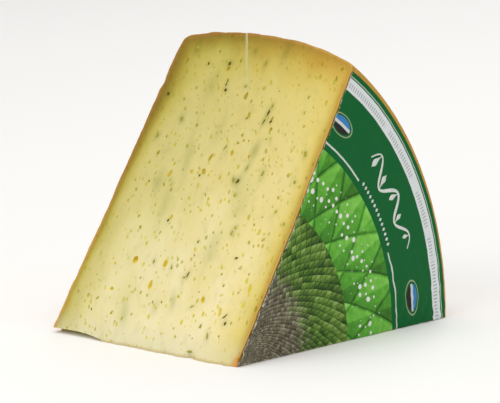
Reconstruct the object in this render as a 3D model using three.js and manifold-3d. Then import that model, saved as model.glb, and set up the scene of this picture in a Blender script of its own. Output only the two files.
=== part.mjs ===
// A wedge of wild garlic cheese, cut from a round wheel with two knife cuts that meet at the wheel's axis.
// It lies on one cut face and the other leans over it, so the wheel's flat sides stand upright. One of
// them still carries the paper. The wheel's axis runs along Y, and X runs outwards over the table.
import * as THREE from "three";
import { mergeVertices } from "three/addons/utils/BufferGeometryUtils.js";
import Module from "manifold-3d";

// The wheel, in millimetres: two sides that swell a little towards the axis, and a rim that bulges.
const WHEEL_THICKNESS = 96.3; // at the rim
const BELLY = { radius: 143.7, across: 57 };
const PAPER_SIDE = { radius: 135, rounding: 2.4, rise: 11, swell: 5.9 }; // it swells most at the axis
const FAR_SIDE = { radius: 139.2, rounding: 3, rise: 6, swell: 2.5 };
const BELLY_PULL = { paperSide: 27, farSide: 15 }; // how far the widest part holds on to each side
const RIM_WAVE = 0.5; // unevenness of the pressed rim
const TURN_STEPS = 150; // round the whole wheel
const CURVE_STEPS = 5; // along each curve of the rim's section
const SIDE_STEPS = 4; // from the axis to the rim

// The cuts.
const WEDGE_ANGLE = THREE.MathUtils.degToRad(56);
const KNIFE_WAVE = 0.4; // unevenness of the upper cut
const EDGE_BOW = { height: 1.8, reach: 26, from: 15, to: 73 }; // the sharp edge bows out up to mid thickness
const KNIFE_GRID = [20, 12]; // along the radius, across the wheel

// The paper on one flat side, cut through with the cheese.
const PAPER = { radius: 132, thickness: 0.6, gap: 0.3, offTable: 0.8, sides: 144 };

// What shows in the cuts: small eyes in the paste, and scraps of leaf that stand a little proud of it.
const LARGE_EYES = [
  { radius: 128.5, across: 65, length: 3.4 },
  { radius: 118.5, across: 62.5, length: 4.2 },
  { radius: 115.5, across: 49.5, length: 2.6 },
  { radius: 86.5, across: 54, length: 2.8 },
  { radius: 78.5, across: 55, length: 3.4 },
  { radius: 76.5, across: 72, length: 2.8 },
  { radius: 57, across: 61.5, length: 2.4 },
  { radius: 37.5, across: 70.5, length: 2.8 },
  { radius: 38, across: 53.5, length: 2.8 },
  { radius: 27.5, across: 57, length: 2.8 },
  { radius: 45, across: 18, length: 2.4 },
  { radius: 17.5, across: 9.5, length: 4.2 },
];
const SMALL_EYES = { upper: 26, lower: 14, length: [1.2, 2.2] };
const EYE_WIDTH = [0.42, 0.62]; // as a share of its length
const EYE_SINK = 0.2; // how far its middle lies under the cut, as a share of its width
const LARGE_SCRAPS = [
  { radius: 107.5, across: 34, length: 7 },
  { radius: 92.5, across: 87, length: 3 },
  { radius: 81, across: 5, length: 3 },
  { radius: 79, across: 34.5, length: 6.5 },
  { radius: 55.5, across: 25.5, length: 4 },
  { radius: 34, across: 40, length: 4 },
];
const SMALL_SCRAPS = { upper: 18, length: [2, 3.5] };
const SCRAP_WIDTH = 0.24; // as a share of its length
const SCRAP_HEIGHT = 0.3;
const MARK_SPACING = 5; // least distance between two marks
const MARK_MARGIN = 6; // marks keep this far from the rind
const MARK_SEED = 27;

// A fine crack in the upper cut, which slants inwards from the rim. Crumbs lost from the sharp edge, and a
// flat flake lost from under its far corner.
const CRACK = { radius: 143, across: 63, slant: 0.51, length: 31, width: 0.5, depth: 0.9 };
const LOST_CRUMBS = [
  { across: -5, length: 5, depth: 0.8 },
  { across: 20, length: 5, depth: 1.3 },
  { across: 56, length: 8, depth: 0.6 },
];
const LOST_FLAKE = { across: 88, length: 36, reach: 8, depth: 2.1 };

const REACH = 2 * BELLY.radius; // large enough to pass right through the wheel

const pasteMaterial = new THREE.MeshStandardMaterial({
  name: "cheese_paste",
  color: 0xe6d896,
  roughness: 0.5,
  metalness: 0,
});
const paperMaterial = new THREE.MeshStandardMaterial({
  name: "label_paper",
  color: 0x1f6a3a,
  roughness: 0.45,
  metalness: 0,
});

const wasm = await Module();
wasm.setup();

// A closed three.js geometry as a solid that can be cut and joined.
function toSolid(geometry) {
  const bare = geometry.clone();
  bare.deleteAttribute("normal");
  bare.deleteAttribute("uv");
  const merged = mergeVertices(bare, 1e-3);
  return new wasm.Manifold(
    new wasm.Mesh({
      numProp: 3,
      vertProperties: merged.attributes.position.array,
      triVerts: new Uint32Array(merged.index.array),
    }),
  );
}

// A solid as a named three.js mesh.
function toMesh(solid, name, material) {
  const { vertProperties, triVerts } = solid.getMesh();
  const geometry = new THREE.BufferGeometry();
  geometry.setAttribute("position", new THREE.BufferAttribute(vertProperties, 3));
  geometry.setIndex(new THREE.BufferAttribute(triVerts, 1));
  geometry.computeVertexNormals();
  const mesh = new THREE.Mesh(geometry, material);
  mesh.name = name;
  return mesh;
}

// A generator of random numbers from 0 to 1 that always gives the same row for a seed.
function seededRandom(seed) {
  let state = seed >>> 0;
  return () => {
    state = (state + 0x6d2b79f5) >>> 0;
    let mixed = Math.imul(state ^ (state >>> 15), 1 | state);
    mixed = (mixed + Math.imul(mixed ^ (mixed >>> 7), 61 | mixed)) ^ mixed;
    return ((mixed ^ (mixed >>> 14)) >>> 0) / 2 ** 32;
  };
}

const between = (random, [low, high]) => low + (high - low) * random();

// Slow unevenness from -1 to 1 over two lengths in millimetres.
function unevenness(a, b) {
  const slow = Math.sin(a / 17 + 1.3) * Math.cos(b / 13 - 0.4);
  const quick = Math.sin(a / 7.1 - b / 9.3 + 2.1);
  return 0.65 * slow + 0.35 * quick;
}

// Moves each vertex of a geometry by a rule that changes the given point in place.
function displace(geometry, rule) {
  const positions = geometry.attributes.position;
  const point = new THREE.Vector3();
  for (let i = 0; i < positions.count; i++) {
    point.fromBufferAttribute(positions, i);
    rule(point);
    positions.setXYZ(i, point.x, point.y, point.z);
  }
  return geometry;
}

// The rim's section from the paper's side to the far side, as points of radius and place across the wheel.
function rimSection() {
  const { radius: near, rounding: nearRound, rise: nearRise } = PAPER_SIDE;
  const { radius: far, rounding: farRound, rise: farRise } = FAR_SIDE;
  const farShoulder = WHEEL_THICKNESS - farRound;
  const rim = new THREE.Path();
  rim.moveTo(near - nearRound, 0);
  rim.quadraticCurveTo(near - 0.5, 0, near, nearRound);
  rim.bezierCurveTo(
    near + 4,
    nearRise,
    BELLY.radius,
    BELLY.across - BELLY_PULL.paperSide,
    BELLY.radius,
    BELLY.across,
  );
  rim.bezierCurveTo(
    BELLY.radius,
    BELLY.across + BELLY_PULL.farSide,
    far + 2.7,
    farShoulder - farRise,
    far,
    farShoulder,
  );
  rim.quadraticCurveTo(far - 1.2, WHEEL_THICKNESS, far - farRound - 1.6, WHEEL_THICKNESS);
  return rim.getPoints(CURVE_STEPS);
}

// How far a side stands out at a distance from the axis: it rises evenly from the rim.
function swellAt({ radius: rim, rounding, swell }, radius) {
  return swell * Math.max(0, 1 - radius / (rim - rounding));
}

// The whole wheel as it comes from the press, turned about its axis, with a rim that is a little uneven.
function makeWheel() {
  const rim = rimSection();
  const steps = Array.from({ length: SIDE_STEPS }, (_, i) => i / SIDE_STEPS);
  const side = ({ x, y }) => steps.map((share) => new THREE.Vector2(share * x, y));
  const section = [...side(rim[0]), ...rim, ...side(rim.at(-1)).reverse()];
  const turned = new THREE.LatheGeometry(section, TURN_STEPS);
  const uneven = displace(turned, (point) => {
    const radius = Math.hypot(point.x, point.z);
    const offPaper = THREE.MathUtils.smoothstep(point.y, 0, WHEEL_THICKNESS / 4);
    const outwards = THREE.MathUtils.smoothstep(radius, 0, FAR_SIDE.radius);
    const along = Math.atan2(point.z, point.x) * BELLY.radius;
    const wave = RIM_WAVE * offPaper * outwards * unevenness(along, point.y);
    const grown = 1 + wave / BELLY.radius;
    if (point.y <= 0) point.y -= swellAt(PAPER_SIDE, radius);
    if (point.y >= WHEEL_THICKNESS) point.y += swellAt(FAR_SIDE, radius);
    point.set(point.x * grown, point.y, point.z * grown);
  });
  return toSolid(uneven);
}

// Everything over a height above the table that the wedge lies on.
function aboveTable(height) {
  const box = new THREE.BoxGeometry(2 * REACH, 2 * REACH, REACH);
  return toSolid(box.translate(0, 0, REACH / 2 + height));
}

// How far the upper cut stands out from its plane.
function cutHeight(radius, across) {
  const { height, reach, from, to } = EDGE_BOW;
  const share = THREE.MathUtils.clamp((across - from) / (to - from), 0, 1);
  const bulge = height * (1 - share ** 2) * Math.exp(-Math.abs(radius) / reach);
  return KNIFE_WAVE * unevenness(radius, across) + bulge;
}

// Everything under the upper cut, whose plane leans over the table.
function underKnife() {
  const [alongRadius, acrossWheel] = KNIFE_GRID;
  const width = WHEEL_THICKNESS + 20;
  const box = new THREE.BoxGeometry(REACH, width, REACH, alongRadius, acrossWheel, 1);
  box.translate(REACH / 2 - 20, WHEEL_THICKNESS / 2, -REACH / 2);
  displace(box, (point) => {
    if (point.z > -1) point.z += cutHeight(point.x, point.y);
  });
  return toSolid(box.rotateY(-WEDGE_ANGLE));
}

// Moves a shape made on the plane z = 0 onto the upper cut: x becomes the radius, y runs across the wheel.
function onUpperCut(geometry, { radius, across }) {
  const height = cutHeight(radius, across);
  return toSolid(geometry.translate(radius, across, height).rotateY(-WEDGE_ANGLE));
}

// Moves such a shape onto the lower cut, turned over, since that cut faces the table.
function onLowerCut(geometry, { radius, across }) {
  return toSolid(geometry.rotateX(Math.PI).translate(radius, across, 0));
}

// Adds marks of random length to a list, none of them close to another, to the rind or to the crack.
function scatter(random, marks, count, lengths) {
  const all = [...marks];
  while (all.length < marks.length + count) {
    const radius = between(random, [MARK_MARGIN, PAPER_SIDE.radius - MARK_MARGIN]);
    const across = between(random, [MARK_MARGIN, WHEEL_THICKNESS - MARK_MARGIN]);
    const crackAcross = CRACK.across - CRACK.slant * (CRACK.radius - radius);
    const onCrack =
      radius > CRACK.radius - CRACK.length - MARK_SPACING &&
      Math.abs(across - crackAcross) < MARK_SPACING;
    const crowded = all.some(
      (other) => Math.hypot(other.radius - radius, other.across - across) < MARK_SPACING,
    );
    if (!onCrack && !crowded) all.push({ radius, across, length: between(random, lengths) });
  }
  return all;
}

// The press flattens the eyes, so each is long along the radius and thin across the wheel.
function makeEyes(random, marks, onCut) {
  return marks.map((mark) => {
    const width = mark.length * between(random, EYE_WIDTH);
    const eye = new THREE.SphereGeometry(0.5, 8, 5)
      .scale(mark.length, width, width)
      .rotateZ(0.5 * (random() - 0.5))
      .translate(0, 0, -EYE_SINK * width);
    return onCut(eye, mark);
  });
}

// Scraps of leaf: low, pointed chips that lie with the grain of the paste.
function makeScraps(random, marks) {
  return marks.map((mark) => {
    const scrap = new THREE.OctahedronGeometry(0.5)
      .scale(mark.length, mark.length * SCRAP_WIDTH, 2 * SCRAP_HEIGHT)
      .rotateZ(0.6 * (random() - 0.5));
    return onUpperCut(scrap, mark);
  });
}

// The crack is a groove with sloping sides that starts past the rim.
function makeCrack() {
  const groove = new THREE.OctahedronGeometry(1)
    .scale(CRACK.length * Math.hypot(1, CRACK.slant), CRACK.width / 2, CRACK.depth)
    .rotateZ(Math.atan(CRACK.slant));
  return onUpperCut(groove, CRACK);
}

function makeLostCrumbs() {
  const { across: middle, length: long, reach, depth: deep } = LOST_FLAKE;
  const flake = new THREE.IcosahedronGeometry(1, 3).scale(reach, long / 2, deep);
  const crumbs = LOST_CRUMBS.map(({ across, length, depth }) => {
    const crumb = new THREE.IcosahedronGeometry(1, 1).scale(2 * depth, length / 2, depth);
    return onUpperCut(crumb, { radius: 0, across });
  });
  return [toSolid(flake.translate(0, middle, 0)), ...crumbs];
}

function makeCheese() {
  const random = seededRandom(MARK_SEED);
  const upperEyes = scatter(random, LARGE_EYES, SMALL_EYES.upper, SMALL_EYES.length);
  const lowerEyes = scatter(random, [], SMALL_EYES.lower, SMALL_EYES.length);
  const scraps = scatter(random, LARGE_SCRAPS, SMALL_SCRAPS.upper, SMALL_SCRAPS.length);
  const lost = [
    ...makeEyes(random, upperEyes, onUpperCut),
    ...makeEyes(random, lowerEyes, onLowerCut),
    ...makeLostCrumbs(),
    makeCrack(),
  ];
  return makeWheel()
    .intersect(aboveTable(0))
    .intersect(underKnife())
    .add(wasm.Manifold.union(makeScraps(random, scraps)))
    .subtract(wasm.Manifold.union(lost));
}

// The paper is a disc that follows the swelling side, and the same two cuts went through it.
function makePaper() {
  const { radius, thickness, gap, offTable, sides } = PAPER;
  const disc = new THREE.CylinderGeometry(radius, radius, thickness, sides);
  disc.translate(0, -gap - thickness / 2, 0);
  displace(disc, (point) => {
    point.y -= swellAt(PAPER_SIDE, Math.hypot(point.x, point.z));
  });
  return toSolid(disc).intersect(aboveTable(offTable)).intersect(underKnife());
}

const wedge = new THREE.Group();
wedge.add(toMesh(makeCheese(), "cheese", pasteMaterial));
wedge.add(toMesh(makePaper(), "label", paperMaterial));

// The origin is on the table, under the middle of the wedge.
const bounds = new THREE.Box3().setFromObject(wedge);
const middle = bounds.getCenter(new THREE.Vector3());
wedge.position.set(-middle.x, -middle.y, -bounds.min.z);

const part = new THREE.Group();
part.add(wedge);

export default part;
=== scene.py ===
"""A wedge of wild garlic cheese: paste with eyes and leaf scraps, rind, and printed paper on one side.

Shapes are worked out in millimetres about the wheel's axis, which is the wedge's sharp edge. X runs
outwards over the table, Y across the wheel from the papered side's rim, and Z up. WheelPlace moves them
into the frame.
"""

import logging
import math
from dataclasses import dataclass
from enum import Enum
from typing import Any, Callable, Sequence

import bmesh
import bpy
import numpy as np
from bpy.types import ID, Material, Mesh, Node, Object
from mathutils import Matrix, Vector


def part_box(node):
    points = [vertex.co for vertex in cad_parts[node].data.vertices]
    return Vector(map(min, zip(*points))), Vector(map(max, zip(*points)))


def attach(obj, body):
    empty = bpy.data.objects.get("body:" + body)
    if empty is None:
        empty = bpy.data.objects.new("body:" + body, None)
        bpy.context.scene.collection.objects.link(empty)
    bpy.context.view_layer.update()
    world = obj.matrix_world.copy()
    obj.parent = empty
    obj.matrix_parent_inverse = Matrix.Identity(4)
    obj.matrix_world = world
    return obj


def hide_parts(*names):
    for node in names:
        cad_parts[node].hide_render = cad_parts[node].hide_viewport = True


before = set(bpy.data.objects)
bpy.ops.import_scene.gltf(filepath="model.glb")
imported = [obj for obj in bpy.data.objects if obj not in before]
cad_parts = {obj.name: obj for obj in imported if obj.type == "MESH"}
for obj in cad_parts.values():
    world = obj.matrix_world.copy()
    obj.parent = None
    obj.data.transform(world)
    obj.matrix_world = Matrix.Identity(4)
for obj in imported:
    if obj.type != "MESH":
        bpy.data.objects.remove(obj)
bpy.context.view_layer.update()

LOG = logging.getLogger("wedge")
MM = 0.001
BODY = "root"
WEDGE_ANGLE = math.radians(56)
# The label's radius, how far its back stands off the side's rim, and how deep a cut's waves reach.
PAPER_RADIUS = 132.0
PAPER_GAP = 0.33
KNIFE_REACH = 14.0
# How marks are drawn: the mean and spread of their turn, the bias to short ones, and the room between.
MARK_TURN = (11.0, 12.0)
SHORT_BIAS = 2.2
CLEARANCE = 0.75

Faces = list[tuple[int, ...]]
Shape = tuple[np.ndarray, Faces]
Stops = Sequence[tuple[float, str]]
# A height, a wavelength and a seed for each layer.
WaveLayers = Sequence[tuple[float, float, int]]
# How many marks, their lengths, and their widths as shares of the lengths.
MarkDraw = tuple[int, tuple[float, float], tuple[float, float]]
# A cell's size, its specks' radii as shares of it, the draw's offset, and how strongly the specks show.
SpeckLayer = tuple[float, tuple[float, float], float, tuple[float, float]]
Corner = Callable[[int, int], tuple[int, int, int]]


def linear_colour(code: str) -> tuple[float, float, float, float]:
    """Turns an sRGB hex colour to linear.

    Args:
        code: Six hex digits, such as "e6d896".

    Returns:
        Linear red, green and blue, with an alpha of 1.
    """
    shares = [int(code[i : i + 2], 16) / 255 for i in (0, 2, 4)]
    linear = [s / 12.92 if s <= 0.04045 else ((s + 0.055) / 1.055) ** 2.4 for s in shares]
    return (*linear, 1.0)


class Finish:
    """A material while it is made."""

    def __init__(self, name: str) -> None:
        """Makes the material, with no nodes in it.

        Args:
            name: The material's name.
        """
        self.material = bpy.data.materials.new(name)
        self.material.use_nodes = True
        self.tree = self.material.node_tree
        self.tree.nodes.clear()

    def add(self, kind: str, *values: Any, stops: Stops = (), **named: Any) -> Node:
        """Adds a shader node with its settings and links.

        Args:
            kind: The node's type without its prefix, such as "Math".
            values: What goes into the node's inputs, in their order: a number, a vector, a hex colour, a
                node whose first output is linked, or a pair of a node and the name of its output.
            stops: A colour ramp's places and hex colours, in order.
            named: The node's own settings, and inputs by name, which start with a capital, with _ for a
                space.

        Returns:
            The new node.
        """
        node = self.tree.nodes.new("ShaderNode" + kind)
        inputs = {name.replace("_", " "): value for name, value in named.items() if name[0].isupper()}
        settings = {name: value for name, value in named.items() if not name[0].isupper()}
        for name, value in settings.items():
            setattr(node, name, value)
        pairs = list(zip([socket for socket in node.inputs if socket.enabled], values))
        pairs += [(node.inputs[name], value) for name, value in inputs.items()]
        for socket, value in pairs:
            source, name = value if isinstance(value, tuple) and len(value) == 2 else (value, None)
            if isinstance(source, Node):
                first = next(output for output in source.outputs if output.enabled)
                self.tree.links.new(source.outputs[name] if name else first, socket)
            else:
                socket.default_value = linear_colour(value) if isinstance(value, str) else value
        if stops:
            elements = node.color_ramp.elements
            for element, (place, code) in zip(list(elements), (stops[0], stops[-1])):
                element.position = place
                element.color = linear_colour(code)
            for place, code in stops[1:-1]:
                elements.new(place).color = linear_colour(code)
        return node


class Waves:
    """Smooth unevenness: a sum of seeded sine waves in random directions, from about -1 to 1."""

    def __init__(self, length: float, seed: int, count: int = 22) -> None:
        """Draws the waves.

        Args:
            length: The typical wavelength in millimetres.
            seed: The seed of the random draw.
            count: How many waves are summed.
        """
        random = np.random.default_rng(seed)
        directions = random.normal(size=(count, 3))
        directions /= np.linalg.norm(directions, axis=1)[:, None]
        lengths = length * random.uniform(0.6, 1.7, count)
        self.vectors = directions * (2 * math.pi / lengths)[:, None]
        self.phases = random.uniform(0, 2 * math.pi, count)

    def at(self, *parts: np.ndarray) -> np.ndarray:
        """Reads the unevenness at points given by up to three coordinates in millimetres."""
        turns = sum(part[..., None] * self.vectors[:, i] for i, part in enumerate(parts))
        return np.sin(turns + self.phases).sum(-1) / math.sqrt(len(self.phases))


def layered(layers: WaveLayers, *parts: np.ndarray) -> np.ndarray:
    """Sums waves of several heights, lengths and seeds at points in millimetres."""
    return sum(height * Waves(length, seed).at(*parts) for height, length, seed in layers)


@dataclass(frozen=True)
class Wheel:
    """The round wheel that the wedge was cut from, in millimetres."""

    thickness: float = 96.3
    belly_radius: float = 143.7
    belly_across: float = 57.0
    near_drop: float = 8.7
    far_drop: float = 4.5
    near_rounding: float = 2.4
    far_rounding: float = 3.0
    bulge: float = 2.2
    near_swell: float = 5.9
    near_swell_reach: float = 132.6
    far_swell: float = 2.5
    far_swell_reach: float = 136.2

    def near_swell_at(self, radius: np.ndarray) -> np.ndarray:
        """Gives how far the papered side stands out past its rim: most of all at the axis."""
        return self.near_swell * np.clip(1 - radius / self.near_swell_reach, 0, 1)

    def far_swell_at(self, radius: np.ndarray) -> np.ndarray:
        """Gives how far the other side stands out past its rim."""
        return self.far_swell * np.clip(1 - radius / self.far_swell_reach, 0, 1)

    def shoulder_radius(self, across: np.ndarray) -> np.ndarray:
        """Gives the rim's radius without the rounding of its two edges.

        Args:
            across: Places across the wheel, from the papered side's rim.

        Returns:
            The radius at each place.
        """
        far_reach = self.thickness - self.far_rounding - self.belly_across
        near = self.near_drop * np.clip(1 - across / self.belly_across, 0, 2) ** self.bulge
        past = np.clip((across - self.belly_across) / far_reach, 0, 2)
        return self.belly_radius - near - self.far_drop * past**self.bulge

    def rim_radius(self, across: np.ndarray) -> np.ndarray:
        """Gives the rim's radius.

        Args:
            across: Places across the wheel, from the papered side's rim.

        Returns:
            The radius at each place.
        """
        near = np.clip(1 - across / self.near_rounding, 0, 1)
        far = np.clip(1 - (self.thickness - across) / self.far_rounding, 0, 1)
        lost = self.near_rounding * (1 - np.sqrt(1 - near**2))
        lost += self.far_rounding * (1 - np.sqrt(1 - far**2))
        return self.shoulder_radius(across) - lost


WHEEL = Wheel()


@dataclass(frozen=True)
class WheelPlace:
    """Where the wheel's axis and its papered side's rim lie in the frame, in metres."""

    axis_x: float
    side_y: float

    @classmethod
    def from_frame(cls) -> "WheelPlace":
        """Reads the place from the solids: the paper ends one paper radius out, just off the side."""
        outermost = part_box("label")[1]
        return cls(outermost.x - PAPER_RADIUS * MM, outermost.y + PAPER_GAP * MM)

    def to_frame(self, points: np.ndarray) -> np.ndarray:
        """Turns points about the wheel's axis, in millimetres, to points in the frame, in metres."""
        return points * MM + np.array([self.axis_x, self.side_y, 0.0])


class WheelFinish(Finish):
    """A finish with nodes for a point's place about the wheel's axis, in millimetres and radians.

    Each part of a finish lays its colour over the colour so far.
    """

    name: str
    colour: Node

    def __init__(self, place: WheelPlace) -> None:
        """Adds the nodes.

        Args:
            place: Where the axis is.
        """
        super().__init__(self.name)
        here = self.add("TexCoord")
        origin = (place.axis_x, place.side_y, 0.0)
        moved = self.add("VectorMath", (here, "Object"), origin, operation="SUBTRACT")
        self.point = self.add("VectorMath", moved, operation="SCALE", Scale=1 / MM)
        parts = self.add("SeparateXYZ", self.point)
        self.x, self.y, self.z = (parts, "X"), (parts, "Y"), (parts, "Z")
        self.flat = self.add("CombineXYZ", X=self.x, Z=self.z)
        self.radius = self.add("VectorMath", self.flat, operation="LENGTH")
        self.angle = self.add("Math", self.z, self.x, operation="ARCTAN2")


@dataclass(frozen=True)
class Cut:
    """One of the two knife cuts, with its unevenness.

    Lengths are in millimetres, and proud is the share of their full height that leaf scraps stand out.
    """

    angle: float
    wave: float = 0.0
    fine: float = 0.0
    bow: float = 0.0
    bow_reach: float = 26.0
    bow_band: tuple[float, float] = (15.0, 58.0)
    proud: float = 1.0

    def height(self, radius: np.ndarray, across: np.ndarray) -> np.ndarray:
        """Gives how far the cut stands out from its plane.

        Args:
            radius: Distances from the wheel's axis.
            across: Places across the wheel.

        Returns:
            The height at each point, in millimetres.
        """
        # The blade's slow and quick swings, the bow of the sharp edge, and fine drag marks.
        slow = np.sin(radius / 17 + 1.3) * np.cos(across / 13 - 0.4)
        quick = np.sin(radius / 7.1 - across / 9.3 + 2.1)
        edge = self.bow * np.exp(-np.abs(radius) / self.bow_reach)
        start, width = self.bow_band
        bowed = edge * (1 - np.clip((across - start) / width, 0, 1) ** 2)
        drag = Waves(9.0, 71).at(0.45 * radius, across) + 0.6 * Waves(4.2, 72).at(0.5 * radius, across)
        return self.wave * (0.65 * slow + 0.35 * quick) + bowed + self.fine * drag

    def place(self, radius: np.ndarray, across: np.ndarray, height: np.ndarray) -> np.ndarray:
        """Gives points on or over the cut.

        Args:
            radius: Distances from the wheel's axis along the cut.
            across: Places across the wheel.
            height: Heights over the cut's uneven face, outwards.

        Returns:
            Rows of three numbers about the wheel's axis.
        """
        outwards = height + self.height(radius, across)
        turned = 1.0 if self.angle > 0 else -1.0
        cosine, sine = math.cos(self.angle), math.sin(self.angle)
        x = radius * cosine - turned * outwards * sine
        z = radius * sine + turned * outwards * cosine
        return np.stack([x, across, z], -1)


UPPER_CUT = Cut(WEDGE_ANGLE, wave=0.4, fine=0.05, bow=1.8)
LOWER_CUT = Cut(0.0, proud=0.1)


def follow_knife(radius: np.ndarray, angle: np.ndarray, height: np.ndarray) -> np.ndarray:
    """Moves points near the upper cut along with its unevenness.

    Args:
        radius: Their distances from the wheel's axis.
        angle: Their angles round the axis.
        height: How far the cut stands out there.

    Returns:
        How far the moved points lie outwards over the table.
    """
    depth = radius * np.sin(WEDGE_ANGLE - angle)
    hold = np.clip(1 - depth / KNIFE_REACH, 0, 1) ** 2
    return radius * np.cos(angle) - hold * height / math.sin(WEDGE_ANGLE)


def rotate(x: np.ndarray, y: np.ndarray, degrees: float) -> tuple[np.ndarray, np.ndarray]:
    """Turns flat points about the origin.

    Args:
        x: Their first numbers.
        y: Their second numbers.
        degrees: The turn, from the first axis to the second.

    Returns:
        The turned points' first and second numbers.
    """
    cosine, sine = math.cos(math.radians(degrees)), math.sin(math.radians(degrees))
    return x * cosine - y * sine, x * sine + y * cosine


class LeafTone(Enum):
    """How a leaf scrap looks: its two greens."""

    DARK = ("4b4606", "746c10")
    OLIVE = ("8e8a26", "aca638")
    FRESH = ("aaa22c", "bfb744")


@dataclass(frozen=True)
class Mark:
    """An eye or a leaf scrap on a cut: its place and size in millimetres, and its turn in degrees."""

    radius: float
    across: float
    length: float
    width: float
    turn: float = 0.0
    stain: float = 0.0
    tone: LeafTone | None = None


def mark_table(*rows: tuple[float, ...], tone: LeafTone | None = None) -> tuple[Mark, ...]:
    """Makes marks of one tone from rows of their other fields."""
    return tuple(Mark(*row, tone=tone) for row in rows)


LARGE_EYES = mark_table(
    (126.6, 65.0, 2.2, 1.3, 8), (121.4, 62.6, 1.4, 0.9, 20), (115.4, 49.5, 2.9, 1.6, 4),
    (106.8, 30.6, 2.4, 1.1, 8), (107.4, 43.8, 2.6, 1.2, 12), (86.6, 53.9, 3.3, 1.5, -6),
    (89.8, 44.1, 2.8, 1.3, 8), (79.8, 54.4, 3.0, 1.7, 12), (76.8, 72.0, 3.2, 1.6, -8),
    (81.4, 71.8, 1.7, 1.0, 10), (89.2, 34.4, 2.0, 1.0, 12), (88.6, 26.4, 1.6, 0.9, 20),
    (58.0, 61.2, 2.2, 1.2, 0), (49.2, 79.5, 1.4, 0.8, 10), (37.4, 70.6, 3.0, 2.2, -5),
    (37.8, 53.6, 3.4, 1.7, 8), (27.5, 56.8, 3.6, 1.8, 6), (23.2, 76.4, 1.8, 1.4, 15),
    (24.9, 26.0, 3.2, 1.7, 14), (33.1, 4.8, 4.4, 1.2, 14), (25.8, 4.5, 3.6, 0.9, -4),
    (21.1, 14.4, 3.4, 1.2, 10), (6.2, 82.0, 1.3, 1.0, 0),
)

DARK_LEAF = mark_table(
    (128.9, 65.2, 1.8, 1.9, 0, 0.45), (119.8, 62.6, 2.7, 0.9, 0, 0.25), (117.0, 61.8, 1.6, 1.7, 40, 0.4),
    (109.4, 33.9, 4.2, 1.1, -4, 0.5), (105.2, 34.4, 3.4, 1.0, -8, 0.55), (105.6, 30.9, 1.8, 1.2, 10, 0.4),
    (127.5, 76.6, 1.8, 1.2, 10, 0.3), (111.7, 91.0, 2.4, 2.0, 10, 0.4), (77.8, 34.6, 2.7, 1.7, -10, 0.7),
    (77.8, 55.6, 1.6, 1.1, 14, 0.2), (56.4, 62.2, 1.5, 1.1, 0, 0.25), (45.0, 18.2, 1.3, 2.0, 6, 0.2),
    (34.6, 39.4, 2.7, 0.9, -8, 0.5), (19.4, 11.0, 3.2, 0.9, -34, 0.2), (16.4, 9.2, 2.2, 1.3, 10, 0.3),
    tone=LeafTone.DARK,
)

OLIVE_LEAF = mark_table(
    (119.8, 51.8, 1.6, 1.5, 0, 0.3), (112.6, 33.2, 2.8, 0.8, -6, 0.3), (106.0, 44.2, 1.7, 1.2, 30, 0.2),
    (130.7, 46.2, 3.8, 1.1, 2, 0.35), (136.0, 54.4, 2.6, 1.6, 10, 0.3), (134.0, 86.0, 3.8, 1.8, 4, 0.5),
    (101.3, 78.0, 2.5, 1.5, 20, 0.6), (99.6, 68.6, 1.9, 1.3, 10, 0.2), (92.6, 87.3, 2.8, 1.5, -20, 0.5),
    (78.0, 37.0, 2.5, 1.4, 24, 0.5), (84.2, 32.9, 3.2, 1.0, -12, 0.6), (82.9, 23.6, 3.0, 1.2, 0, 0.5),
    (81.1, 5.2, 2.2, 1.6, 25, 0.3), (93.4, 5.6, 2.6, 1.3, 10, 0.6), (62.5, 2.0, 1.9, 1.6, 10, 0.3),
    (55.0, 26.0, 2.2, 1.3, 15, 0.45), (49.3, 41.5, 1.9, 1.4, 0, 0.2), (37.7, 60.0, 2.4, 1.2, 14, 0.4),
    (36.4, 49.4, 2.7, 1.2, 20, 0.3), (33.0, 40.6, 1.1, 2.2, 12, 0.4), (9.8, 15.1, 3.6, 0.8, 22, 0.4),
    (2.0, 20.8, 1.2, 2.4, 10, 0.2),
    tone=LeafTone.OLIVE,
)

FRESH_LEAF = mark_table(
    (71.7, 32.8, 1.9, 1.8, 0, 0.3), (57.6, 25.4, 2.0, 1.8, 15, 0.3), (21.2, 29.9, 2.6, 1.1, -50, 0.3),
    tone=LeafTone.FRESH,
)

LEAF_SHOWN = DARK_LEAF + OLIVE_LEAF + FRESH_LEAF

DEEP_LEAF = mark_table(
    (92.3, 32.6, 5.0, 2.0, 0, 0.7), (70.0, 28.5, 14.0, 6.0, 10, 0.25), (137.3, 38.2, 7.0, 2.2, 0, 0.5),
    (72.5, 76.9, 4.0, 2.4, 0, 0.4), (22.2, 41.2, 4.6, 1.4, 18, 0.55), (18.0, 49.1, 4.0, 1.6, 0, 0.35),
    (84.0, 66.0, 12.0, 2.0, 14, 0.35), (64.0, 68.0, 10.0, 2.0, 10, 0.3), (98.0, 56.0, 7.0, 3.0, 0, 0.25),
    (13.5, 64.0, 7.0, 2.2, 20, 0.4), (118.0, 70.0, 8.0, 3.0, 0, 0.3), (47.0, 33.0, 9.0, 5.0, 0, 0.35),
)


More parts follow.
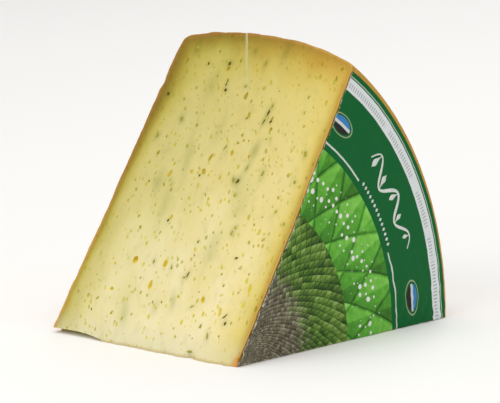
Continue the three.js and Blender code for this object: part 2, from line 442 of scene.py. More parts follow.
def scatter(
    random: np.random.Generator,
    count: int,
    lengths: tuple[float, float],
    slenderness: tuple[float, float],
    taken: Sequence[Mark],
    margin: float,
) -> list[Mark]:
    """Draws marks over a cut, clear of those already there.

    Args:
        random: The generator that the draw uses.
        count: How many marks to draw.
        lengths: The shortest and longest, in millimetres. Short ones are more common.
        slenderness: The least and greatest width as a share of the length.
        taken: Marks that the new ones keep clear of.
        margin: The least distance from the rind, in millimetres.

    Returns:
        The new marks.
    """
    drawn: list[Mark] = []
    while len(drawn) < count:
        across = random.uniform(margin, WHEEL.thickness - margin)
        limit = float(WHEEL.rim_radius(np.array(across))) - margin
        radius = random.uniform(4.0, limit)
        length = lengths[0] + (lengths[1] - lengths[0]) * random.random() ** SHORT_BIAS
        width = length * random.uniform(*slenderness)
        turn = random.normal(*MARK_TURN)
        clear = all(
            math.hypot(radius - m.radius, across - m.across) > CLEARANCE * (length + m.length)
            for m in [*taken, *drawn]
        )
        if clear:
            drawn.append(Mark(radius, across, length, width, turn))
    return drawn


class MeshParts:
    """Points and faces of many small closed shapes, gathered into one mesh."""

    def __init__(self) -> None:
        """Starts empty."""
        self.points: list[np.ndarray] = []
        self.faces: Faces = []
        self.slots: list[int] = []
        self.count = 0

    def add(self, points: np.ndarray, faces: Sequence[tuple[int, ...]], slot: int = 0) -> None:
        """Adds one shape.

        Args:
            points: Its points about the wheel's axis.
            faces: Its faces, numbered from its own first point.
            slot: The number of its material.
        """
        self.points.append(points)
        self.faces += [tuple(v + self.count for v in face) for face in faces]
        self.slots += [slot] * len(faces)
        self.count += len(points)

    def piece(self, name: str, place: WheelPlace, materials: Sequence[Material]) -> Object:
        """Makes a smooth object of what was added.

        Args:
            name: The piece's name.
            place: Where the wheel's axis is.
            materials: The piece's materials.

        Returns:
            The object, with its faces pointing out.
        """
        mesh = bpy.data.meshes.new(name)
        placed = place.to_frame(np.concatenate(self.points))
        mesh.from_pydata(placed.tolist(), [], self.faces)
        for material in materials:
            mesh.materials.append(material)
        mesh.polygons.foreach_set("material_index", np.asarray(self.slots, np.int32))
        turned = bmesh.new()
        turned.from_mesh(mesh)
        bmesh.ops.recalc_face_normals(turned, faces=turned.faces[:])
        turned.to_mesh(mesh)
        turned.free()
        mesh.shade_smooth()
        piece = bpy.data.objects.new(name, mesh)
        bpy.context.scene.collection.objects.link(piece)
        return piece


def tube_faces(last: int, sides: int) -> Faces:
    """Gives the faces of a closed tube whose points come ring by ring.

    Args:
        last: The number of the last ring, from 0.
        sides: How many points are in a ring.

    Returns:
        The two end caps and the sides.
    """
    faces: Faces = [tuple(range(sides)), tuple(last * sides + i for i in reversed(range(sides)))]
    for i in range(last):
        for j in range(sides):
            a, b = i * sides + j, i * sides + (j + 1) % sides
            faces.append((a, a + sides, b + sides, b))
    return faces


def write_values(mesh: Mesh, **values: np.ndarray) -> None:
    """Writes numbers for the finishes to read.

    Args:
        mesh: The mesh that gets them.
        values: A number for each point, under the name that the finish reads.
    """
    for name, value in values.items():
        attribute = mesh.attributes.new(name, "FLOAT", "POINT")
        attribute.data.foreach_set("value", value.astype(np.float32))


def carry(piece: Object, slot: str, *nodes: str) -> None:
    """Makes a piece ride on the wedge.

    Args:
        piece: The piece.
        slot: The name of a material slot; not used.
        nodes: The solids that it stands for.
    """
    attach(piece, BODY)
    if nodes:
        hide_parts(*nodes)


@dataclass(frozen=True)
class Crack:
    """The fine crack in the upper cut, which slants inwards from the rim, in millimetres."""

    radius: float = 143.5
    across: float = 63.3
    slant: float = 0.51
    length: float = 30.0
    width: float = 0.34
    depth: float = 0.35


CRACK = Crack()


class PasteFinish(WheelFinish):
    """Semi-hard cheese paste, cut with a knife.

    The eye sees a moist satin face that light sinks into a little. It is palest in the middle, dries to
    gold under the papered side and to olive elsewhere under the rind, and is freckled with leaf of every
    size, sharp at the face and blurred where it lies deeper. The paling inwards and the darker olive
    towards the far side and the rim are partly ripening and partly painted light and shade, and the foot
    of the upper cut has painted contact shade. Sizes and depths are in millimetres: those of the crumb,
    the knife's drag marks, the clouds that shift the ripening and the ragged inner edge of the dry skin.
    """

    name: str = "cheese_paste_knife_cut"
    grain_size: float = 0.5
    drag_size: float = 2.857
    cloud_size: float = 16.67
    ragged_size: float = 1.667
    stretch: float = 1.7
    lean: float = 0.21
    tip: tuple[float, float, float] = (1.0, -5.9, 0.5)
    depth_range: float = 130.0
    gold: Stops = (
        (0, "a98a34"), (3, "bfa345"), (6, "c9b056"), (9, "d0bb61"), (14, "d6c36c"),
        (22, "dac977"), (45, "dfcf88"), (75, "e7d89a"), (100, "ebdda9"), (130, "ede2b6"),
    )
    olive: Stops = (
        (0, "7c6412"), (3, "907b1e"), (6, "a59537"), (9, "b5a84e"), (14, "c0b45f"),
        (22, "c8bc73"), (45, "ccc17d"), (75, "d8cd8f"), (100, "dfd5a0"), (130, "e5dcb0"),
    )
    deep_leaf: tuple[tuple[float, float], ...] = ((11.0, 0.1), (4.5, 0.17))
    speck_greens: Stops = (
        (0.0, "f2e02c"), (0.3, "ebe33c"), (0.6, "dfdf3c"), (0.85, "ced23e"), (1.0, "aab23e"),
    )
    speck_layers: tuple[SpeckLayer, ...] = (
        (2.1, (0.2, 0.35), 11.0, (0.75, 0.45)),
        (3.2, (0.15, 0.3), 7.0, (1.0, 0.55)),
        (4.6, (0.1, 0.23), 3.0, (1.0, 0.5)),
    )

    def __init__(self, place: WheelPlace) -> None:
        """Adds the depth under the upper cut, and coordinates that are shortened along the grain.

        Args:
            place: Where the wheel's axis is.
        """
        super().__init__(place)
        leaning = self.add("Math", self.z, -math.cos(WEDGE_ANGLE), operation="MULTIPLY")
        self.under = self.add("Math", self.x, math.sin(WEDGE_ANGLE), leaning, operation="MULTIPLY_ADD")
        short = self.add("Math", self.radius, self.stretch, operation="DIVIDE")
        leant = self.add("Math", self.radius, -self.lean, self.y, operation="MULTIPLY_ADD")
        self.grain = self.add("CombineXYZ", short, leant, self.under)

    def build(self) -> Material:
        """Builds the material.

        Returns:
            The material.
        """
        self.ripeness_and_painted_shade()
        self.clouds()
        for layer in self.speck_layers:
            self.specks(*layer)
        self.crack()
        fine = self.add("TexNoise", self.point, Scale=1 / self.grain_size, Detail=3.0)
        drag = self.add("TexNoise", self.grain, Scale=1 / self.drag_size, Detail=4.0, Roughness=0.6)
        relief = self.add("Math", drag, 2.0, fine, operation="MULTIPLY_ADD")
        shader = self.add(
            "BsdfPrincipled",
            Base_Color=self.colour,
            Roughness=self.add("MapRange", drag, 0.3, 0.7, 0.42, 0.58),
            IOR=1.42,
            Specular_IOR_Level=0.35,
            Subsurface_Weight=0.3,
            Subsurface_Radius=(1.0, 0.85, 0.5),
            Subsurface_Scale=2.0 * MM,
            Normal=self.add("Bump", Height=relief, Strength=0.3, Distance=0.1 * MM),
        )
        self.add("OutputMaterial", shader)
        return self.material

    def ripeness_and_painted_shade(self) -> None:
        """Adds the colours from the rind inwards, gold under the papered side and olive elsewhere.

        They are partly ripening and partly painted light and shade: paler inwards, and darker and more
        olive towards the far side and the rim.
        """
        depth = self.add("Attribute", attribute_name="ripe_depth")
        cloud = self.add("TexNoise", self.grain, Scale=1 / self.cloud_size, Detail=3.0)
        shift = self.add("MapRange", cloud, 0.3, 0.7, 0.72, 1.28)
        moved = self.add("Math", (depth, "Fac"), shift, operation="MULTIPLY")
        share = self.add("MapRange", moved, 0.0, self.depth_range)
        gold, olive = (
            self.add("ValToRGB", share, stops=[(place / self.depth_range, code) for place, code in ramp])
            for ramp in (self.gold, self.olive)
        )
        outwards = self.add("MapRange", self.radius, 105.0, 135.0)
        shallow = self.add("MapRange", moved, 4.0, 20.0, 0.6, 0.0)
        corner = self.add("Math", outwards, shallow, operation="MULTIPLY")
        gold = self.add("Mix", corner, gold, "ffe6b0", data_type="RGBA", blend_type="MULTIPLY")
        drift = self.add("Math", cloud, 24.0, self.y, operation="MULTIPLY_ADD")
        side = self.add("MapRange", drift, 14.0, 82.0)
        # Partly ripening and partly painted light and shade: darker and more olive towards the far side.
        ripe_and_shade = self.add("Mix", side, gold, olive, data_type="RGBA")
        thin = self.add("MapRange", self.radius, 1.0, 14.0, 0.5, 0.0, interpolation_type="SMOOTHSTEP")
        self.colour = self.add("Mix", thin, ripe_and_shade, "d3ceaa", data_type="RGBA")
        self.skin(side)

    def skin(self, side: Node) -> None:
        """Adds the dried skin by the rind, painted contact shade by the table and the orange stain at the
        near tip.

        On the far side the skin turns darker towards the rim, partly as painted shade.

        Args:
            side: How far a point is from the papered side, from 0 to 1.
        """
        depth = self.add("Attribute", attribute_name="rind_depth")
        ragged = self.add("TexNoise", self.grain, Scale=1 / self.ragged_size, Detail=3.0)
        reach = self.add("MapRange", ragged, 0.3, 0.7, 0.9, 2.1)
        wider = self.add("Math", side, 1.1, reach, operation="MULTIPLY_ADD")
        in_skin = self.add(
            "MapRange", (depth, "Fac"), 0.2, wider, 0.95, 0.0, interpolation_type="SMOOTHSTEP"
        )
        # Partly painted shade: on the far side the skin is painted darker brown towards the rim.
        outer = self.add("MapRange", self.radius, 30.0, 90.0)
        far_skin_and_shade = self.add("Mix", outer, "c99a44", "a0722e", data_type="RGBA")
        skin_colour = self.add("Mix", side, "c79d4e", far_skin_and_shade, data_type="RGBA")
        skinned = self.add("Mix", in_skin, self.colour, skin_colour, data_type="RGBA")
        # Painted contact shade: a tan line at the foot of the upper cut, where it meets the table.
        low = self.add("MapRange", self.z, 0.3, reach, 0.6, 0.0)
        face = self.add("Math", self.under, 2.5, operation="LESS_THAN")
        dried = self.add("Math", low, face, operation="MULTIPLY")
        skinned = self.add("Mix", dried, skinned, "b89c5a", data_type="RGBA")
        tip = self.add("VectorMath", self.point, self.tip, operation="DISTANCE")
        at_tip = self.add("MapRange", tip, 1.0, 5.0, 0.95, 0.0, interpolation_type="SMOOTHSTEP")
        self.colour = self.add("Mix", at_tip, skinned, "d8862a", data_type="RGBA")

    def clouds(self) -> None:
        """Adds leaf that lies deep in the paste and shows as soft grey-green clouds."""
        stain = self.add("Attribute", attribute_name="leaf_stain")
        total = (stain, "Fac")
        for spacing, most in self.deep_leaf:
            cloud = self.add("TexNoise", self.grain, Scale=1 / spacing, Detail=3.0, Roughness=0.6)
            soft = self.add("MapRange", cloud, 0.5, 0.76, 0.0, most, interpolation_type="SMOOTHSTEP")
            total = self.add("Math", soft, total, operation="ADD", use_clamp=True)
        self.colour = self.add(
            "Mix", total, self.colour, "b4c092", data_type="RGBA", blend_type="MULTIPLY"
        )

    def specks(
        self, spacing: float, sizes: tuple[float, float], lift: float, strengths: tuple[float, float]
    ) -> None:
        """Adds leaf specks, one to a cell, each with its own size, green and sharpness.

        Args:
            spacing: The cells' size in millimetres.
            sizes: The smallest and largest speck's radius as a share of the spacing.
            lift: An offset that gives this layer its own draw.
            strengths: How strongly the sharpest and the most blurred specks show.
        """
        own = self.add("VectorMath", self.grain, (lift,) * 3, operation="ADD")
        jag = self.add("TexNoise", own, Scale=2.2 / spacing, Detail=3.0)
        amount = (0.4 * spacing,) * 3
        jagged = self.add("VectorMath", (jag, "Color"), amount, own, operation="MULTIPLY_ADD")
        cells = self.add("TexVoronoi", jagged, Scale=1 / spacing)
        draw = self.add("SeparateColor", (cells, "Color"))
        size = self.add("MapRange", (draw, "Red"), 0.45, 1.0, *sizes)
        chosen = self.add("Math", (draw, "Red"), 0.45, operation="GREATER_THAN")
        blur = self.add("MapRange", (draw, "Blue"), 0.0, 1.0, 0.08, 0.28)
        inner = self.add("Math", size, blur, operation="SUBTRACT")
        inside = self.add("MapRange", cells, inner, size, 1.0, 0.0, interpolation_type="SMOOTHSTEP")
        seen = self.add("Math", inside, chosen, operation="MULTIPLY")
        strength = self.add("MapRange", (draw, "Blue"), 0.0, 1.0, *strengths)
        shown = self.add("Math", seen, strength, operation="MULTIPLY")
        greens = self.add("ValToRGB", (draw, "Green"), stops=self.speck_greens)
        self.colour = self.add(
            "Mix", shown, self.colour, greens, data_type="RGBA", blend_type="MULTIPLY"
        )

    def crack(self) -> None:
        """Adds the pale line of the crack in the upper cut."""
        start = CRACK.across - CRACK.slant * CRACK.radius
        middle = self.add("Math", self.radius, CRACK.slant, start, operation="MULTIPLY_ADD")
        offset = self.add("Math", self.y, middle, operation="SUBTRACT")
        away = self.add("Math", offset, operation="ABSOLUTE")
        line = self.add("MapRange", away, 0.3, 0.85, 1.0, 0.0, interpolation_type="SMOOTHSTEP")
        inner = CRACK.radius - CRACK.length
        fade = self.add("MapRange", self.radius, inner, CRACK.radius, 0.05, 0.55)
        upper = self.add("Math", self.under, 3.0, operation="LESS_THAN")
        on_upper = self.add("Math", fade, upper, operation="MULTIPLY")
        shown = self.add("Math", line, on_upper, operation="MULTIPLY")
        self.colour = self.add("Mix", shown, self.colour, "dcd9b4", data_type="RGBA")


class EyeFinish(WheelFinish):
    """The moist skin inside an eye of the cheese.

    It gives a small amber pool: gold at the lip, browner near the rim, with painted shade that darkens it
    where it is deep, and glossier than the cut.
    """

    name: str = "cheese_eye_moist"
    deepest: float = 1.1
    stops: Stops = ((0.0, "dccd50"), (0.3, "d8c232"), (0.7, "ccaf1e"), (1.0, "aa8f0c"))

    def build(self) -> Material:
        """Builds the material.

        Returns:
            The material.
        """
        # Painted shade: the colour darkens with depth below the cut, where the pit lies in shade.
        depth = self.add("Attribute", attribute_name="cut_depth")
        share = self.add("MapRange", (depth, "Fac"), 0.0, self.deepest)
        colour = self.add("ValToRGB", share, stops=self.stops)
        aged = self.add("MapRange", self.radius, 35.0, 125.0, 0.0, 0.8)
        browner = self.add("Mix", aged, colour, "bbb676", data_type="RGBA", blend_type="MULTIPLY")
        shader = self.add(
            "BsdfPrincipled", Base_Color=browner, Roughness=0.35, IOR=1.42, Specular_IOR_Level=0.3
        )
        self.add("OutputMaterial", shader)
        return self.material


class RindFinish(WheelFinish):
    """Washed natural rind, rubbed with brine and dried on a shelf.

    The eye sees warm gold with soft brown clouds and a dry paler bloom, small dark pores, hairline cracks,
    a low sheen, and the print of the press cloth. Its threads are 1.3 mm apart and the pores 0.4 mm wide in
    the real rind, too fine to show at a metre, so both are drawn about twice as coarse.
    """

    name: str = "cheese_rind_washed"
    thread_spacing: float = 2.5
    freckle: float = 1.1
    pore_spacing: float = 4.0
    crack_spacing: float = 10.0
    bloom: float = 8.0
    cloud: float = 17.0
    golds: Stops = ((0.25, "b1802f"), (0.42, "bf9138"), (0.56, "caa145"), (0.74, "d5b058"))
    rim_radius: float = 138.0
    rim_edge: tuple[float, float] = (134.5, 136.5)

    def build(self) -> Material:
        """Builds the material.

        Returns:
            The material.
        """
        clouds = self.add("TexNoise", self.point, Scale=1 / self.cloud, Detail=5.0, Roughness=0.6)
        freckles = self.add("TexNoise", self.point, Scale=1 / self.freckle, Detail=4.0, Roughness=0.7)
        freckled = self.add("MapRange", freckles, 0.35, 0.7, 0.0, 0.7)
        dusty = self.add("TexNoise", self.point, Scale=1 / self.bloom, Detail=6.0, Roughness=0.7)
        bloomed = self.add("MapRange", dusty, 0.5, 0.68, 0.0, 0.45, interpolation_type="SMOOTHSTEP")
        cracked = self.cracked(dusty)
        pores = self.add("TexVoronoi", self.point, Scale=1 / self.pore_spacing)
        draw = self.add("SeparateColor", (pores, "Color"))
        pore_size = self.add("MapRange", (draw, "Red"), 0.35, 1.0, 0.0, 0.26)
        pitted = self.add("MapRange", pores, 0.0, pore_size, 0.8, 0.0, interpolation_type="SMOOTHSTEP")
        band = self.add("MapRange", self.y, 2.0, 12.0, 0.65, 0.0, interpolation_type="SMOOTHSTEP")
        colour = self.add("ValToRGB", clouds, stops=self.golds)
        for amount, code, blend in (
            (freckled, "cdac7a", "MULTIPLY"),
            (bloomed, "dcbd78", "MIX"),
            (cracked, "8a5a20", "MIX"),
            (pitted, "6e441a", "MIX"),
            (band, "cd9c36", "MIX"),
        ):
            colour = self.add("Mix", amount, colour, code, data_type="RGBA", blend_type=blend)
        woven = self.add("Math", self.cloth(), 0.45, freckles, operation="MULTIPLY_ADD")
        split = self.add("Math", cracked, -1.2, woven, operation="MULTIPLY_ADD")
        relief = self.add("Math", pitted, -1.4, split, operation="MULTIPLY_ADD")
        shader = self.add(
            "BsdfPrincipled",
            Base_Color=colour,
            Roughness=self.add("MapRange", freckles, 0.3, 0.7, 0.45, 0.66),
            IOR=1.42,
            Specular_IOR_Level=0.25,
            Subsurface_Weight=0.15,
            Subsurface_Radius=(1.0, 0.6, 0.25),
            Subsurface_Scale=1.5 * MM,
            Normal=self.add("Bump", Height=relief, Strength=0.7, Distance=0.4 * MM),
        )
        self.add("OutputMaterial", shader)
        return self.material

    def cracked(self, dusty: Node) -> Node:
        """Adds the hairline cracks of the dried crust, which come and go.

        Args:
            dusty: The noise of the bloom, which bends the cracks and breaks them up.

        Returns:
            The node that says how deep in a crack a point is.
        """
        bent = self.add("VectorMath", (dusty, "Color"), (6.0,) * 3, self.point, operation="MULTIPLY_ADD")
        net = self.add("TexVoronoi", bent, feature="DISTANCE_TO_EDGE", Scale=1 / self.crack_spacing)
        line = self.add("MapRange", net, 0.0, 0.045, 0.6, 0.0, interpolation_type="SMOOTHSTEP")
        shown = self.add("MapRange", dusty, 0.42, 0.58, 1.0, 0.0)
        return self.add("Math", line, shown, operation="MULTIPLY")

    def cloth(self) -> Node:
        """Adds the print of the press cloth, its threads square to the rim and to the flat sides.

        Returns:
            The node that holds the print's height, from -1 to 1.
        """
        turns = math.tau / self.thread_spacing
        arc = self.add("Math", self.angle, self.rim_radius, operation="MULTIPLY")
        prints = []
        for pair in ((self.x, self.z), (self.y, arc)):
            rows = []
            for axis in pair:
                phase = self.add("Math", axis, turns, operation="MULTIPLY")
                rows.append(self.add("Math", phase, operation="SINE"))
            prints.append(self.add("Math", *rows, operation="MULTIPLY"))
        on_rim = self.add("MapRange", self.radius, *self.rim_edge)
        return self.add("Mix", on_rim, *prints, data_type="FLOAT")


class LeafFinish(WheelFinish):
    """Chopped wild garlic leaf that has steeped in the paste.

    It gives the green flecks: dark where the leaf is thick, yellow-green where the paste has bleached it.
    """

    mottle_size: float = 0.909

    def __init__(self, place: WheelPlace, tone: LeafTone) -> None:
        """Names the finish for its tone.

        Args:
            place: Where the wheel's axis is.
            tone: The leaf's two greens.
        """
        self.name = f"garlic_leaf_{tone.name.lower()}"
        self.tone = tone
        super().__init__(place)

    def build(self) -> Material:
        """Builds the material.

        Returns:
            The material.
        """
        mottle = self.add("TexNoise", self.point, Scale=1 / self.mottle_size, Detail=3.0)
        low, high = self.tone.value
        colour = self.add("ValToRGB", mottle, stops=((0.35, low), (0.65, high)))
        shader = self.add(
            "BsdfPrincipled", Base_Color=colour, Roughness=0.6, IOR=1.42, Specular_IOR_Level=0.15
        )
        self.add("OutputMaterial", shader)
        return self.material


@dataclass
class CheeseBody:
    """Paste and rind of the wedge, with the eyes and the crack cut into it.

    Lengths are in millimetres. Each bite out of the sharp edge has a place across the wheel, a width, a
    depth and a reach from the edge.
    """

    place: WheelPlace
    step: float = 1.15
    turn_steps: int = 104
    seed: int = 5
    upper_eyes: MarkDraw = (60, (0.6, 1.7), (0.5, 0.8))
    lower_eyes: MarkDraw = (84, (0.8, 3.2), (0.42, 0.7))
    eye_margin: float = 4.0
    eye_lumps: float = 0.16
    flake_lumps: float = 0.05
    flake: tuple[float, float, float] = (8.0, 18.0, 2.1)
    flake_across: float = 88.0
    eye_shape: tuple[float, float, float] = (1.1, 1.2, 0.9)
    sharp_from: float = 42.0
    pale_radii: tuple[float, float] = (40.0, 105.0)
    rim_fade: float = 24.0
    near_fade: float = 3.0
    far_band: tuple[float, float] = (0.9, 0.1)
    crumb_reach: float = 2.2
    rim_waves: WaveLayers = ((0.35, 34, 1), (0.2, 9, 2), (0.07, 3.2, 3))
    side_waves: WaveLayers = ((0.3, 22, 4), (0.24, 7, 6))
    near_waves: WaveLayers = ((0.12, 7, 8),)
    edge_waves: WaveLayers = ((0.22, 7, 11), (0.2, 2.6, 12))
    bites: tuple[tuple[float, float, float, float], ...] = (
        (20, 2.2, 1.6, 2.4), (-5, 2.5, 0.8, 2.5), (56, 5, 0.5, 3.0),
    )

    def build(self) -> list[Object]:
        """Builds the piece and dresses it.

        Returns:
            The piece, alone in a list.
        """
        materials = [finish(self.place).build() for finish in (PasteFinish, RindFinish, EyeFinish)]
        body = self.wedge().piece("cheese_body", self.place, materials)
        lost = self.lost_shapes().piece("lost_shapes", self.place, materials)
        cut = body.modifiers.new("lost", "BOOLEAN")
        cut.operation = "DIFFERENCE"
        cut.solver = "MANIFOLD"
        cut.object = lost
        bpy.context.view_layer.update()
        evaluated = body.evaluated_get(bpy.context.evaluated_depsgraph_get())
        shape = bpy.data.meshes.new_from_object(evaluated)
        body.modifiers.clear()
        body.data = shape
        bpy.data.objects.remove(lost)
        shape.set_sharp_from_angle(angle=math.radians(self.sharp_from))
        self.measure(shape)
        carry(body, "cheese", "cheese")
        return [body]

    def wedge(self) -> MeshParts:
        """Works out the wedge before anything is cut out of it: a closed grid over all five faces.

        Returns:
            Its points about the wheel's axis, and its faces.
        """
        thickness, rim = WHEEL.thickness, WHEEL.belly_radius
        # Points lie closer together towards both flat sides and towards the rim.
        even = np.linspace(0, 1, round(thickness / self.step) + 1)
        across = thickness * (0.55 * even + 0.45 * (0.5 - 0.5 * np.cos(np.pi * even)))
        even = np.linspace(0, 1, round(rim / self.step) + 1)
        outwards = 0.7 * even + 0.3 * np.sin(0.5 * np.pi * even)
        turns = np.linspace(0, 1, self.turn_steps + 1)
        last_out, last_turn, last_across = len(outwards) - 1, self.turn_steps, len(across) - 1
        numbers: dict[tuple[int, int, int], int] = {}
        parts = MeshParts()

        def patch(rows: int, columns: int, corner: Corner, slot: int) -> None:
            """Fills a grid of quads, or triangles on the axis, where all turns are one point.

            Args:
                rows: How many quads the grid has one way.
                columns: How many it has the other way.
                corner: Gives the steps outwards, round and across of a corner in the grid.
                slot: The number of its material.
            """
            for i in range(rows):
                for j in range(columns):
                    ring = [corner(i, j), corner(i + 1, j), corner(i + 1, j + 1), corner(i, j + 1)]
                    keys = [(out, turn if out else 0, row) for out, turn, row in ring]
                    face = tuple(dict.fromkeys(numbers.setdefault(key, len(numbers)) for key in keys))
                    if len(face) > 2:
                        parts.faces.append(face)
                        parts.slots.append(slot)

        patch(last_turn, last_across, lambda i, j: (last_out, i, j), 1)
        for turn in (0, last_turn):
            patch(last_out, last_across, lambda i, j, turn=turn: (i, turn, j), 0)
        for row in (0, last_across):
            patch(last_out, last_turn, lambda i, j, row=row: (i, j, row), 1)
        keys = np.array(list(numbers))
        y = across[keys[:, 2]]
        radius = outwards[keys[:, 0]] * WHEEL.rim_radius(y)
        parts.points.append(self.uneven(radius, turns[keys[:, 1]] * WEDGE_ANGLE, y))
        return parts

    def uneven(self, radius: np.ndarray, angle: np.ndarray, y: np.ndarray) -> np.ndarray:
        """Presses the rim and the sides out of true, and follows the knife.

        Args:
            radius: Each point's distance from the axis.
            angle: Each point's angle round the axis.
            y: Each point's place across the wheel.

        Returns:
            Points about the wheel's axis.
        """
        flat = radius * np.cos(angle), y, radius * np.sin(angle)
        # The high power moves the rim alone.
        outer = np.clip(radius / WHEEL.belly_radius, 0, 1) ** 8
        radius = radius + outer * np.clip(y / self.rim_fade, 0, 1) * layered(self.rim_waves, *flat)
        start, width = self.far_band
        far = np.clip((y / WHEEL.thickness - start) / width, 0, 1)
        y = y - far**3 * np.abs(layered(self.side_waves, *flat))
        y = y + np.clip(1 - y / self.near_fade, 0, 1) * np.abs(layered(self.near_waves, *flat))
        share = y / WHEEL.thickness
        y = y - WHEEL.near_swell_at(radius) * (1 - share) + WHEEL.far_swell_at(radius) * share
        height = UPPER_CUT.height(radius, y) + self.edge_bites(radius, y)
        return np.stack([follow_knife(radius, angle, height), y, radius * np.sin(angle)], -1)

    def edge_bites(self, radius: np.ndarray, y: np.ndarray) -> np.ndarray:
        """Gives the crumbled line of the sharp edge, as heights over the upper cut.

        Args:
            radius: Distances from the wheel's axis.
            y: Places across the wheel.

        Returns:
            The height at each point, below zero where crumbs are lost.
        """
        crumbs = layered(self.edge_waves, 0 * y, y) - 0.15
        bites = np.minimum(crumbs, 0.1) * np.exp(-((radius / self.crumb_reach) ** 2))
        for across, width, depth, reach in self.bites:
            lost = depth * np.exp(-(((y - across) / width) ** 2))
            bites -= lost * np.exp(-((radius / reach) ** 2))
        return bites

    def lost_shapes(self) -> MeshParts:
        """Makes the shapes that are cut out: eyes in both cuts, the crack and a flake off one corner.

        Returns:
            The shapes about the wheel's axis.
        """
        random = np.random.default_rng(self.seed)
        upper = list(LARGE_EYES)
        near_leaf = [*upper, *LEAF_SHOWN]
        upper += scatter(random, *self.upper_eyes, near_leaf, self.eye_margin)
        lower = scatter(random, *self.lower_eyes, [], self.eye_margin)
        parts = MeshParts()
        for cut, marks in ((UPPER_CUT, upper), (LOWER_CUT, lower)):
            for mark in marks:
                parts.add(*self.eye(mark, cut, random), slot=2)
        parts.add(*self.crack())
        ball, faces = self.ball(4)
        lumps = 1 + self.flake_lumps * Waves(0.7, 33, 8).at(*ball.T)[:, None]
        parts.add(2 * ball * lumps * self.flake + np.array([0, self.flake_across, 0]), faces)
        return parts

    def ball(self, detail: int) -> Shape:
        """Makes a ball that is 1 across.

        Args:
            detail: How often its faces are split.

        Returns:
            Its points, and its faces.
        """
        ball = bmesh.new()
        bmesh.ops.create_icosphere(ball, subdivisions=detail, radius=0.5)
        points = np.array([v.co for v in ball.verts])
        faces = [tuple(v.index for v in f.verts) for f in ball.faces]
        ball.free()
        return points, faces

    def eye(self, mark: Mark, cut: Cut, random: np.random.Generator) -> Shape:
        """Makes one eye: a lumpy ball, longer along the radius, most of it over the cut.

        Args:
            mark: Where and how large it is.
            cut: The cut that it opens in.
            random: The generator that the lumps are drawn from.

        Returns:
            Points about the wheel's axis, and faces.
        """
        unit, faces = self.ball(3 if mark.length > 1.6 else 2)
        lumps = Waves(0.8, int(random.integers(1 << 30)), 8).at(*unit.T)
        size = np.array([mark.length, mark.width, mark.width]) * self.eye_shape
        body = unit * (1 + self.eye_lumps * lumps)[:, None] * size
        along, aside = rotate(body[:, 0], body[:, 1], mark.turn)
        height = body[:, 2] + 0.04 * mark.width
        return cut.place(mark.radius + along, mark.across + aside, height), faces

    def crack(self) -> Shape:
        """Makes the crack's groove: a slim blade that deepens towards the rim.

        Returns:
            Points about the wheel's axis, and faces.
        """
        steps = 30
        shares = np.linspace(0, 1, steps + 1)
        radius = CRACK.radius - CRACK.length + (CRACK.length + 3) * shares
        across = CRACK.across + CRACK.slant * (radius - CRACK.radius) + 0.14 * Waves(6, 21).at(radius)
        # The blade gets wider and deeper outwards, and its back stands over the cut.
        half = 0.5 * CRACK.width * (0.3 + 0.7 * shares)
        depth = CRACK.depth * (0.25 + 0.75 * shares)
        rows = [
            UPPER_CUT.place(radius, across - half, 0 * shares + 0.4),
            UPPER_CUT.place(radius, across + half, 0 * shares + 0.4),
            UPPER_CUT.place(radius, across, -depth),
        ]
        return np.stack(rows, 1).reshape(-1, 3), tube_faces(steps, len(rows))

    def measure(self, shape: Mesh) -> None:
        """Writes what the finishes read at each point: depths under rind and cuts, and leaf stain.

        The depth that ripens the paste also carries painted light and shade.

        Args:
            shape: The finished mesh, in the frame.
        """
        flat = np.zeros(len(shape.vertices) * 3)
        shape.vertices.foreach_get("co", flat)
        points = (flat.reshape(-1, 3) - self.place.to_frame(np.zeros(3))) / MM
        y = points[:, 1]
        radius = np.hypot(points[:, 0], points[:, 2])
        rim = np.maximum(WHEEL.shoulder_radius(y) - radius, 0.01)
        near = np.maximum(y + WHEEL.near_swell_at(radius), 0.01)
        far = np.maximum(WHEEL.thickness + WHEEL.far_swell_at(radius) - y, 0.01)
        # Near the axis the paste stays pale almost up to the far side.
        soft = np.interp(radius, self.pale_radii, (1, 0))
        # Painted shade as well as ripening: the far side's term grows slowly, so its darker band reaches
        # deep.
        far_ripening_and_shade = 0.35 * far + 3.0 * soft + far**2 * (0.075 + 0.45 * soft)
        # Three skins ripen the paste, and the nearest counts most. The result also carries painted light
        # and shade: darker towards the far side and the rim.
        ripening_and_shade = (0.9 * rim, near + near**2 / 2, far_ripening_and_shade)
        ripe_and_shade = sum(value**-2.0 for value in ripening_and_shade) ** -0.5
        normal = np.array([-math.sin(WEDGE_ANGLE), 0, math.cos(WEDGE_ANGLE)])
        under_upper = np.abs(UPPER_CUT.height(radius, y) - points @ normal)
        under_lower = np.abs(points[:, 2])
        stain = np.zeros(len(points))
        for mark in (*LEAF_SHOWN, *DEEP_LEAF):
            along, aside = rotate(radius - mark.radius, y - mark.across, -mark.turn)
            along, aside = along / (0.8 * mark.length + 0.3), aside / (0.7 * mark.width + 0.5)
            stain += mark.stain * np.exp(-(along**2 + aside**2))
        write_values(
            shape,
            rind_depth=np.minimum(rim, np.minimum(near, far)),
            ripe_depth=ripe_and_shade,
            cut_depth=np.minimum(under_upper, under_lower),
            leaf_stain=np.clip(stain * (under_upper < under_lower + 3), 0, 1),
        )


